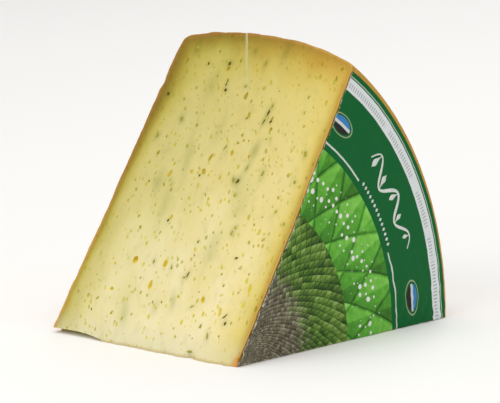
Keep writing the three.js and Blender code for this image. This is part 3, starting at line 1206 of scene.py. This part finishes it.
@dataclass
class LeafScraps:
    """The leaf that lies in the two cuts as real scraps, one piece for each tone.

    For each tone a number of small scraps is drawn, with the shortest and longest in millimetres.
    """

    place: WheelPlace
    seed: int = 31
    sides: int = 11
    slenderness: tuple[float, float] = (0.4, 0.75)
    margin: float = 6.0
    rim_depth: float = 0.25
    rim_heights: tuple[float, float] = (0.01, 0.04)
    middle_depth: float = 0.3
    middle_height: float = 0.06
    drawn: tuple[tuple[LeafTone, int, tuple[float, float]], ...] = (
        (LeafTone.DARK, 4, (0.9, 1.8)),
        (LeafTone.OLIVE, 40, (0.9, 2.4)),
        (LeafTone.FRESH, 110, (0.9, 2.6)),
    )

    def build(self) -> list[Object]:
        """Builds the pieces and dresses them.

        Returns:
            One piece for each tone.
        """
        random = np.random.default_rng(self.seed)
        taken = [*LARGE_EYES, *LEAF_SHOWN]
        pieces = []
        for tone, count, lengths in self.drawn:
            upper = scatter(random, count, lengths, self.slenderness, taken, self.margin)
            lower = scatter(random, count, lengths, self.slenderness, [], self.margin)
            taken += upper
            upper += [mark for mark in LEAF_SHOWN if mark.tone is tone]
            parts = MeshParts()
            for cut, marks in ((UPPER_CUT, upper), (LOWER_CUT, lower)):
                for mark in marks:
                    parts.add(*self.scrap(mark, cut, random))
            finish = LeafFinish(self.place, tone).build()
            piece = parts.piece(f"leaf_scraps_{tone.name.lower()}", self.place, [finish])
            carry(piece, "cheese")
            pieces.append(piece)
        return pieces

    def scrap(self, mark: Mark, cut: Cut, random: np.random.Generator) -> Shape:
        """Makes one torn scrap of leaf, its face flush with the cut.

        Args:
            mark: Where and how large it is.
            cut: The cut that it lies in.
            random: The generator that the torn outline is drawn from.

        Returns:
            Points about the wheel's axis, and faces.
        """
        sides = self.sides
        angles = np.linspace(0, 2 * math.pi, sides, endpoint=False)
        angles = angles + random.uniform(-0.22, 0.22, sides)
        reach = random.uniform(0.55, 1.1, sides)
        half_length, half_width = 0.5 * mark.length * reach, 0.5 * mark.width * reach
        along, aside = rotate(half_length * np.cos(angles), half_width * np.sin(angles), mark.turn)
        along, aside = mark.radius + along, mark.across + aside
        middle = np.array([mark.radius]), np.array([mark.across])
        rows = [
            cut.place(along, aside, np.full(sides, -self.rim_depth)),
            cut.place(along, aside, cut.proud * random.uniform(*self.rim_heights, sides)),
            cut.place(*middle, np.array([self.middle_height * cut.proud])),
            cut.place(*middle, np.array([-self.middle_depth])),
        ]
        faces: Faces = []
        for i in range(sides):
            j = (i + 1) % sides
            faces.append((i, j, sides + j, sides + i))
            faces.append((sides + i, sides + j, 2 * sides))
            faces.append((j, i, 2 * sides + 1))
        return np.concatenate(rows), faces


class PaperFinish(WheelFinish):
    """Offset-printed label paper, pressed onto the cheese while it was moist.

    The eye sees flat satin ink in green and white rings, a rosette of leaf-green and bark-brown kites with
    a wreath of white beads, fine creases where the paper followed the rind, and the paper's white core
    where the knife tore its edge. Sizes and radii are in millimetres and the ovals' angles in degrees.
    """

    name: str = "label_paper_offset_print"
    bark: tuple[str, ...] = ("29241a", "4a4436", "6a6452", "8f8972", "bdb8a2")
    leaf: tuple[str, ...] = ("15220c", "2f4a1a", "4f7429", "7a9a45", "a4bd72")
    petal: tuple[str, ...] = ("2b5a1c", "44862a", "5fae38", "86cf55", "aee085")
    chip_count: int = 96
    petal_count: int = 30
    petal_start: float = 68.0
    rosette_radius: float = 97.0
    wreath: tuple[float, float] = (82.0, 12.0)
    bead_spacing: float = 3.4
    thin_line: tuple[float, float] = (100.1, 0.42)
    line_gap: tuple[float, float] = (29.7, 10.6)
    white_ring: tuple[float, float] = (123.8, 129.4)
    tick_spacing: float = 1.45
    tick_reach: float = 1.1
    tick_group: float = 11.11
    oval_angles: tuple[float, ...] = (6.1, 53.3)
    oval_radius: float = 110.8
    oval_size: tuple[float, float] = (7.7, 4.4)
    wander_size: float = 6.25
    mottle_size: float = 3.333
    fibre_size: float = 0.625
    crease_size: float = 9.091
    fray_size: float = 1.818

    def __init__(self, place: WheelPlace) -> None:
        """Adds the print's distance from the axis, which wanders a little, most of all low down.

        Args:
            place: Where the wheel's axis is.
        """
        super().__init__(place)
        wander = self.add("TexNoise", self.flat, Scale=1 / self.wander_size, Detail=2.0)
        centred = self.add("Math", wander, 0.5, operation="SUBTRACT")
        amount = self.add("MapRange", self.z, 4.0, 45.0, 2.6, 0.5)
        self.printed = self.add("Math", centred, amount, self.radius, operation="MULTIPLY_ADD")

    def build(self) -> Material:
        """Builds the material.

        Returns:
            The material.
        """
        self.rosette()
        self.beads()
        self.bands()
        self.arcs()
        self.ticks()
        self.ovals()
        self.torn()
        fine = self.add("TexNoise", self.point, Scale=1 / self.fibre_size, Detail=4.0)
        scale = 1 / self.crease_size
        creases = self.add(
            "TexNoise", self.point, noise_type="RIDGED_MULTIFRACTAL", Scale=scale, Detail=3.0
        )
        relief = self.add("Math", creases, 1.5, fine, operation="MULTIPLY_ADD")
        shader = self.add(
            "BsdfPrincipled",
            Base_Color=self.colour,
            Roughness=self.add("MapRange", fine, 0.3, 0.7, 0.45, 0.6),
            IOR=1.45,
            Specular_IOR_Level=0.12,
            Normal=self.add("Bump", Height=relief, Strength=0.35, Distance=0.15 * MM),
        )
        self.add("OutputMaterial", shader)
        return self.material

    def kites(self, count: int, drawn_out: float) -> tuple[Node, Node, Node, Node]:
        """Adds a net of kites that grow with the distance from the axis, as in a dahlia.

        Args:
            count: How many kites go round the whole wheel.
            drawn_out: How much longer than wide a kite is.

        Returns:
            A random number for each kite, the place along it from 0 to 1, the distance from its midline,
            and the distance from its border.
        """
        turns = self.add("Math", self.angle, count / math.tau, 100.0, operation="MULTIPLY_ADD")
        growth = math.exp(drawn_out * math.tau / count)
        rings = self.add("Math", self.printed, growth, operation="LOGARITHM")
        outwards = self.add("Math", turns, rings, operation="ADD")
        inwards = self.add("Math", turns, rings, operation="SUBTRACT")
        cell, share, border = [], [], []
        for line in (outwards, inwards):
            cell.append(self.add("Math", line, operation="FLOOR"))
            share.append(self.add("Math", line, operation="FRACT"))
            border.append(self.add("Math", line, 0.5, operation="PINGPONG"))
        key = self.add("CombineXYZ", cell[0], cell[1], 0.0)
        draw = self.add("TexWhiteNoise", key)
        ahead = self.add("Math", share[0], share[1], operation="SUBTRACT")
        along = self.add("MapRange", ahead, -1.0, 1.0)
        total = self.add("Math", *share, operation="ADD")
        aside = self.add("Math", total, 1.0, operation="SUBTRACT")
        return draw, along, aside, self.add("Math", *border, operation="MINIMUM")

    def rosette(self) -> None:
        """Adds the rosette: bark-brown chips at the axis, then green chips, then long bright kites."""
        print_noise = self.add("TexNoise", self.flat, Scale=1 / self.mottle_size, Detail=4.0)
        layers = []
        for count, drawn_out, palettes in (
            (self.chip_count, 1.3, (self.bark, self.leaf)),
            (self.petal_count, 1.7, (self.petal,)),
        ):
            draw, along, aside, border = self.kites(count, drawn_out)
            half = self.add("MapRange", aside, -0.04, 0.04, -0.12, 0.12)
            lit = self.add("Math", along, 0.45, half, operation="MULTIPLY_ADD")
            outline = self.add("MapRange", border, 0.0, 0.07, -0.45, 0.0)
            lined = self.add("Math", lit, outline, operation="ADD")
            mottled = self.add("Math", print_noise, 0.6, lined, operation="MULTIPLY_ADD")
            tone = self.add("Math", draw, 0.5, mottled, operation="MULTIPLY_ADD")
            share = self.add("MapRange", tone, 0.1, 1.35)
            for palette in palettes:
                stops = [(i / 4, code) for i, code in enumerate(palette)]
                layers.append(self.add("ValToRGB", share, stops=stops))
        bark, leaf, petal = layers
        drift = self.add("Math", print_noise, 30.0, self.printed, operation="MULTIPLY_ADD")
        inner = self.add("MapRange", drift, 50.0, 62.0)
        outer = self.add("MapRange", self.printed, self.petal_start - 0.1, self.petal_start + 0.1)
        middle = self.add("Mix", inner, bark, leaf, data_type="RGBA")
        self.colour = self.add("Mix", outer, middle, petal, data_type="RGBA")

    def beads(self) -> None:
        """Adds a wreath of round white beads of many sizes over the long kites."""
        middle, half_width = self.wreath
        along = self.add("Math", self.angle, middle, operation="MULTIPLY")
        place = self.add("CombineXYZ", along, self.printed, 0.0)
        cells = self.add(
            "TexVoronoi", place, Scale=1 / self.bead_spacing, voronoi_dimensions="2D", Randomness=0.6
        )
        centre = self.add("SeparateXYZ", (cells, "Position"))
        out = self.add("Math", (centre, "Y"), middle, operation="SUBTRACT")
        spread = self.add("Math", out, operation="ABSOLUTE")
        draw = self.add("SeparateColor", (cells, "Color"))
        room = self.add("MapRange", spread, 0.0, half_width, 0.46, 0.0)
        size = self.add("Math", room, (draw, "Red"), operation="MULTIPLY")
        rest = self.add("Math", size, cells, operation="SUBTRACT")
        white = self.add("MapRange", rest, 0.0, 0.05)
        self.colour = self.add("Mix", white, self.colour, "e9ece4", data_type="RGBA")

    def bands(self) -> None:
        """Adds the green ring, the white ring and the thin lines at the label's edge."""
        green, white, line = "08642f", "e4e9ea", "a9c4b0"
        inner, outer = self.white_ring
        edges = ((0.0, green), (inner, white), (outer, green), (outer + 0.4, line), (outer + 1.0, green))
        share = self.add("Math", self.printed, PAPER_RADIUS, operation="DIVIDE")
        stops = [(place / PAPER_RADIUS, code) for place, code in edges]
        printed = self.add("ValToRGB", share, stops=stops)
        printed.color_ramp.interpolation = "CONSTANT"
        edge = self.rosette_radius
        outside = self.add("MapRange", self.printed, edge - 0.1, edge + 0.1)
        self.colour = self.add("Mix", outside, self.colour, printed, data_type="RGBA")

    def arcs(self) -> None:
        """Adds the thin white line inside the green ring, broken where the ornament stands."""
        on_line = self.add("Math", self.printed, *self.thin_line, operation="COMPARE")
        middle, reach = np.radians(self.line_gap)
        inside = self.add("Math", self.angle, middle, reach, operation="COMPARE")
        shown = self.add("Math", on_line, inside, operation="SUBTRACT", use_clamp=True)
        self.colour = self.add("Mix", shown, self.colour, "d2dcd0", data_type="RGBA")

    def ticks(self) -> None:
        """Adds plain grey ticks, in groups, along the middle of the white ring."""
        middle = sum(self.white_ring) / 2
        in_row = self.add("Math", self.printed, middle, self.tick_reach, operation="COMPARE")
        length = self.add("Math", self.angle, middle, operation="MULTIPLY")
        phase = self.add("Math", length, math.tau / self.tick_spacing, operation="MULTIPLY")
        wave = self.add("Math", phase, operation="SINE")
        bar = self.add("MapRange", wave, 0.0, 0.35)
        scale = 1 / self.tick_group
        group = self.add("TexNoise", length, noise_dimensions="1D", Scale=scale, Detail=1.0)
        in_group = self.add("MapRange", group, 0.4, 0.45, 0.0, 0.6)
        row = self.add("Math", in_row, bar, operation="MULTIPLY")
        shown = self.add("Math", row, in_group, operation="MULTIPLY")
        self.colour = self.add("Mix", shown, self.colour, "8b9492", data_type="RGBA")

    def ovals(self) -> None:
        """Adds plain ovals in three tones, each with a thin outline."""
        middle = self.oval_radius
        half_long, half_short = self.oval_size
        pitch = middle / half_long
        out = self.add(
            "Math", self.printed, 1 / half_short, -middle / half_short, operation="MULTIPLY_ADD"
        )
        share = self.add("MapRange", out, -1.0, 1.0)
        tones = self.add("ValToRGB", share, stops=((0.0, "2c2a27"), (0.42, "d5dada"), (0.58, "3f86c2")))
        tones.color_ramp.interpolation = "CONSTANT"
        for degrees in self.oval_angles:
            start = -math.radians(degrees) * pitch
            along = self.add("Math", self.angle, pitch, start, operation="MULTIPLY_ADD")
            joined = self.add("CombineXYZ", along, out, 0.0)
            size = self.add("VectorMath", joined, operation="LENGTH")
            in_field = self.add("MapRange", size, 0.74, 0.79, 1.0, 0.0)
            filled = self.add("Mix", in_field, self.colour, tones, data_type="RGBA")
            on_line = self.add("Math", size, 0.95, 0.045, operation="COMPARE")
            soft = self.add("Math", on_line, 0.6, operation="MULTIPLY")
            self.colour = self.add("Mix", soft, filled, "c3cfa4", data_type="RGBA")

    def torn(self) -> None:
        """Adds the paper's white core along the edges that the knife tore, most of all near the axis."""
        depth = self.add("Attribute", attribute_name="edge_depth")
        scale = 1 / self.fray_size
        frayed = self.add("TexNoise", self.flat, Scale=scale, Detail=4.0, Roughness=0.75)
        most = self.add("MapRange", self.radius, 15.0, 85.0, 2.1, 0.7)
        reach = self.add("MapRange", frayed, 0.45, 0.75, 0.0, most)
        rest = self.add("Math", reach, (depth, "Fac"), operation="SUBTRACT")
        bare = self.add("MapRange", rest, 0.0, 0.25, 0.0, 0.85)
        self.colour = self.add("Mix", bare, self.colour, "c9ccc0", data_type="RGBA")


class InkFinish(WheelFinish):
    """White opaque ink, printed thickly.

    It gives the ornament a clean pale line with the paper's own gloss.
    """

    name: str = "white_ink_printed"
    grain_size: float = 1.111

    def build(self) -> Material:
        """Builds the material.

        Returns:
            The material.
        """
        grain = self.add("TexNoise", self.point, Scale=1 / self.grain_size, Detail=2.0)
        colour = self.add("ValToRGB", grain, stops=((0.3, "cfd6cc"), (0.6, "e6eae4")))
        shader = self.add("BsdfPrincipled", Base_Color=colour, Roughness=0.5, IOR=1.45)
        self.add("OutputMaterial", shader)
        return self.material


@dataclass
class Label:
    """The paper on the flat side, with its printed ornament.

    Lengths are in millimetres and the ornament's angles in degrees.
    """

    place: WheelPlace
    thickness: float = 0.16
    gap: float = 0.16
    table_gap: float = 0.15
    tip: float = 1.2
    out_steps: int = 250
    turn_steps: int = 90
    ink: float = 0.03
    sharp_from: float = 50.0
    ripple_height: float = 30.0
    ripple_start: float = 60.0
    ripple_grown: float = 40.0
    curl_reach: float = 0.8
    overhang: float = 0.4
    inset: float = 0.25
    most_frayed: float = 0.9
    torn_radii: tuple[float, float] = (10.0, 80.0)
    torn_roughness: tuple[float, float] = (2.4, 1.0)
    broad_waves: WaveLayers = ((0.1, 26, 41),)
    creases: WaveLayers = ((0.05, 8, 42),)
    ripples: WaveLayers = ((0.34, 7, 43),)
    edge_waves: WaveLayers = ((0.16, 5, 51), (0.13, 1.8, 52))
    lower_waves: WaveLayers = ((0.15, 6, 53),)
    curl_waves: WaveLayers = ((0.3, 4, 54),)
    vine_angles: tuple[float, float] = (41.0, 17.0)
    vine_radius: float = 112.0
    vine_turns: float = 2.5
    vine_heights: tuple[float, float] = (5.4, 2.8)
    vine_widths: tuple[float, float] = (1.1, 1.6)
    vine_points: int = 200
    lozenge_angles: tuple[float, float] = (21.0, 38.5)
    lozenge_radius: float = 101.3
    lozenge_size: tuple[float, float] = (0.42, 2.0)
    lozenge_count: int = 14

    def lift(self, x: np.ndarray, z: np.ndarray) -> np.ndarray:
        """Gives how far the paper's back stands out from the papered side's rim, in millimetres.

        Args:
            x: Distances out from the axis along the table.
            z: Heights over the table.

        Returns:
            The distance at each point.
        """
        low = np.clip(1 - z / self.ripple_height, 0, 1)
        low *= np.clip((x - self.ripple_start) / self.ripple_grown, 0, 1)
        flat = x, 0 * x, z
        broad = np.clip(0.1 + layered(self.broad_waves, *flat), 0, 0.4)
        crease = np.abs(layered(self.creases, *flat))
        ripple = low * np.abs(layered(self.ripples, *flat))
        return self.gap + WHEEL.near_swell_at(np.hypot(x, z)) + broad + crease + ripple

    def build(self) -> list[Object]:
        """Builds the paper and the ornament and dresses them."""
        return [self.paper(), self.ornament()]

    def paper(self) -> Object:
        """Makes the sheet: a sector with torn edges and a little thickness.

        Returns:
            The piece.
        """
        outwards = np.linspace(0, 1, self.out_steps + 1)
        radius = self.tip + (PAPER_RADIUS + self.overhang - self.tip) * outwards
        rough = np.interp(radius, self.torn_radii, self.torn_roughness)
        frayed = rough * layered(self.edge_waves, radius)
        low = self.table_gap + np.abs(layered(self.lower_waves, radius))
        inset = self.inset + np.clip(frayed, -self.inset, self.most_frayed)
        first = np.arcsin(np.clip(low / radius, 0, 0.6))
        last = WEDGE_ANGLE - inset / radius
        share = np.linspace(0, 1, self.turn_steps + 1)
        angle = first[:, None] + (last - first)[:, None] * share[None, :]
        wide = np.repeat(radius[:, None], len(share), 1)
        x = follow_knife(wide, angle, UPPER_CUT.height(wide, -WHEEL.near_swell_at(wide)))
        z = wide * np.sin(angle)
        depth = wide * np.sin(WEDGE_ANGLE - angle)
        curl = np.exp(-depth / self.curl_reach) * rough[:, None]
        curl *= np.abs(layered(self.curl_waves, wide))
        back = -self.lift(x, z) - curl
        sheets = [np.stack([x, side, z], -1).reshape(-1, 3) for side in (back, back - self.thickness)]
        rows, columns, half = x.shape[0], x.shape[1], x.size
        faces: Faces = []
        for i in range(rows - 1):
            for j in range(columns - 1):
                a = i * columns + j
                quad = (a, a + 1, a + columns + 1, a + columns)
                faces += [quad, tuple(v + half for v in reversed(quad))]
        border = (
            [i * columns for i in range(rows)]
            + [(rows - 1) * columns + j for j in range(1, columns)]
            + [i * columns + columns - 1 for i in range(rows - 2, -1, -1)]
            + [j for j in range(columns - 2, 0, -1)]
        )
        for a, b in zip(border, border[1:] + border[:1]):
            faces.append((a, b, b + half, a + half))
        parts = MeshParts()
        parts.add(np.concatenate(sheets), faces)
        sheet = parts.piece("label_paper", self.place, [PaperFinish(self.place).build()])
        edge = np.minimum(depth - inset[:, None], 2.2 * (z - low[:, None])).ravel()
        write_values(sheet.data, edge_depth=np.tile(edge, 2))
        sheet.data.set_sharp_from_angle(angle=math.radians(self.sharp_from))
        carry(sheet, "label", "label")
        return sheet

    def ornament(self) -> Object:
        """Makes the printed ornament: a vine with a leaf in each bend, and a row of lozenges under it.

        Returns:
            The piece.
        """
        start, end = self.vine_angles
        middle, turns = self.vine_radius, self.vine_turns
        tall, low = self.vine_heights
        parts = MeshParts()
        share = np.linspace(0, 1, self.vine_points)
        height = tall + (low - tall) * share
        wave = np.sin(math.tau * turns * share)
        path = np.stack([start + (end - start) * share, middle + height * wave], -1)
        taper = np.sin(math.pi * np.clip(share, 0.03, 0.97)) ** 0.4
        thin, thick = self.vine_widths
        parts.add(*self.ribbon(path, (thin + (thick - thin) * (1 - wave**2)) * taper))
        leaf = np.linspace(0, 1, 40)
        for i in range(round(2 * turns)):
            bend = (i + 0.5) / (2 * turns)
            side = -1.0 if i % 2 else 1.0
            size = tall + (low - tall) * bend
            foot = start + (end - start) * bend
            degrees = foot + 0.16 * size * np.sin(0.5 * math.pi * leaf)
            out = middle + side * size * (0.96 - 1.5 * leaf)
            broad = 0.3 + 0.5 * size * np.sin(math.pi * leaf**1.6) ** 1.5
            parts.add(*self.ribbon(np.stack([degrees, out], -1), broad * (1 - leaf**8)))
        half_degrees, broadest = self.lozenge_size
        for degrees in np.linspace(*self.lozenge_angles, self.lozenge_count):
            places = [degrees - half_degrees, degrees, degrees + half_degrees]
            path = np.stack([places, [self.lozenge_radius] * 3], -1)
            parts.add(*self.ribbon(path, np.array([0.05, broadest, 0.05])))
        piece = parts.piece("label_ornament", self.place, [InkFinish(self.place).build()])
        carry(piece, "label")
        return piece

    def ribbon(self, path: np.ndarray, width: np.ndarray) -> Shape:
        """Makes one printed stroke that lies on the paper.

        Args:
            path: Rows of an angle in degrees and a radius in millimetres.
            width: The stroke's width at each point, in millimetres.

        Returns:
            Points about the wheel's axis, and faces.
        """
        turn = np.radians(path[:, 0])
        middle = np.stack([path[:, 1] * np.cos(turn), path[:, 1] * np.sin(turn)], -1)
        ahead = np.gradient(middle, axis=0)
        ahead /= np.linalg.norm(ahead, axis=1)[:, None]
        aside = np.stack([-ahead[:, 1], ahead[:, 0]], -1) * 0.5 * width[:, None]
        rows = []
        for edge in (middle - aside, middle + aside):
            surface = -self.lift(edge[:, 0], edge[:, 1]) - self.thickness
            for sunk in (-self.ink, self.ink):
                rows.append(np.stack([edge[:, 0], surface + sunk, edge[:, 1]], -1))
        ring = [rows[0], rows[1], rows[3], rows[2]]
        return np.stack(ring, 1).reshape(-1, 3), tube_faces(len(path) - 1, len(ring))


@dataclass(frozen=True)
class Lamp:
    """A square lamp that faces the wedge.

    Its azimuth and elevation are in degrees, its distance and size in metres, and its power in watts.
    """

    name: str
    azimuth: float
    elevation: float
    distance: float
    size: float
    power: float
    colour: str = "ffffff"


@dataclass
class Studio:
    """The pale floor, the soft lights and the camera, which stands where the photograph's stood.

    It looks from its azimuth and elevation in degrees and its distance in metres at a point about the
    wheel's axis in millimetres.
    """

    place: WheelPlace
    azimuth: float = -47.57
    elevation: float = 9.64
    distance: float = 1.976
    focal_pixels: float = 4800.0
    frame_width: float = 500.0
    aim: tuple[float, float, float] = (68.4, 50.7, 51.25)
    room_light: float = 0.5
    floor_reach: float = 12.0
    lamps: tuple[Lamp, ...] = (
        Lamp("key", azimuth=-85, elevation=28, distance=1.3, size=0.9, power=6, colour="fffaf0"),
        Lamp("overhead", azimuth=0, elevation=88, distance=1.5, size=1.6, power=12),
        Lamp("far_side", azimuth=110, elevation=40, distance=1.6, size=1.0, power=5),
    )

    def build(self) -> None:
        """Builds the floor, the lights and the camera."""
        target = Vector(self.place.to_frame(np.array(self.aim)))
        self.floor()
        for lamp in self.lamps:
            self.light(lamp, target)
        world = bpy.data.worlds.new("soft_white_room")
        world.use_nodes = True
        background = world.node_tree.nodes["Background"]
        background.inputs["Color"].default_value = linear_colour("ffffff")
        background.inputs["Strength"].default_value = self.room_light
        bpy.context.scene.world = world
        bpy.context.scene.view_settings.view_transform = "Standard"
        self.camera(target)

    def stand(
        self, data: ID, target: Vector, azimuth: float, elevation: float, distance: float
    ) -> Object:
        """Stands a lamp or the camera round the wedge, facing it.

        Args:
            data: The lamp's or the camera's data.
            target: What it faces.
            azimuth: Degrees round the wedge. At 0 it stands in front, on the papered side.
            elevation: Degrees over the table.
            distance: Metres from the wedge.

        Returns:
            The new object.
        """
        turn, rise = math.radians(azimuth), math.radians(elevation)
        level = math.cos(rise)
        way = Vector((math.sin(turn) * level, -math.cos(turn) * level, math.sin(rise)))
        holder = bpy.data.objects.new(data.name, data)
        holder.location = target + way * distance
        holder.rotation_euler = way.to_track_quat("Z", "Y").to_euler()
        bpy.context.scene.collection.objects.link(holder)
        return holder

    def floor(self) -> None:
        """Makes the floor of pale matt paint, which takes a soft shadow and has no gloss."""
        finish = Finish("pale_floor_matt_paint")
        shader = finish.add("BsdfPrincipled", "f4f3f1", Roughness=0.8)
        finish.add("OutputMaterial", shader)
        reach = self.floor_reach
        mesh = bpy.data.meshes.new("floor")
        corners = [(-reach, -reach, 0), (reach, -reach, 0), (reach, reach, 0), (-reach, reach, 0)]
        mesh.from_pydata(corners, [], [(0, 1, 2, 3)])
        mesh.materials.append(finish.material)
        floor = bpy.data.objects.new("floor", mesh)
        bpy.context.scene.collection.objects.link(floor)

    def light(self, lamp: Lamp, target: Vector) -> None:
        """Adds a lamp.

        Args:
            lamp: The lamp.
            target: What it faces.
        """
        data = bpy.data.lights.new(lamp.name, "AREA")
        data.shape = "SQUARE"
        data.size = lamp.size
        data.energy = lamp.power
        data.color = linear_colour(lamp.colour)[:3]
        self.stand(data, target, lamp.azimuth, lamp.elevation, lamp.distance)

    def camera(self, target: Vector) -> None:
        """Places the camera.

        Args:
            target: The middle of its view.
        """
        data = bpy.data.cameras.new("camera")
        data.sensor_width = 36.0
        data.lens = data.sensor_width * self.focal_pixels / self.frame_width
        data.clip_start = 0.05
        holder = self.stand(data, target, self.azimuth, self.elevation, self.distance)
        bpy.context.scene.camera = holder


def main() -> None:
    """Builds the wedge, its leaf, its label and the studio."""
    logging.basicConfig(level=logging.INFO, format="%(message)s")
    place = WheelPlace.from_frame()
    for part in (CheeseBody(place), LeafScraps(place), Label(place)):
        for piece in part.build():
            LOG.info("%s: %d faces", piece.name, len(piece.data.polygons))
    Studio(place).build()
    bpy.context.view_layer.update()


if __name__ == "__main__":
    main()
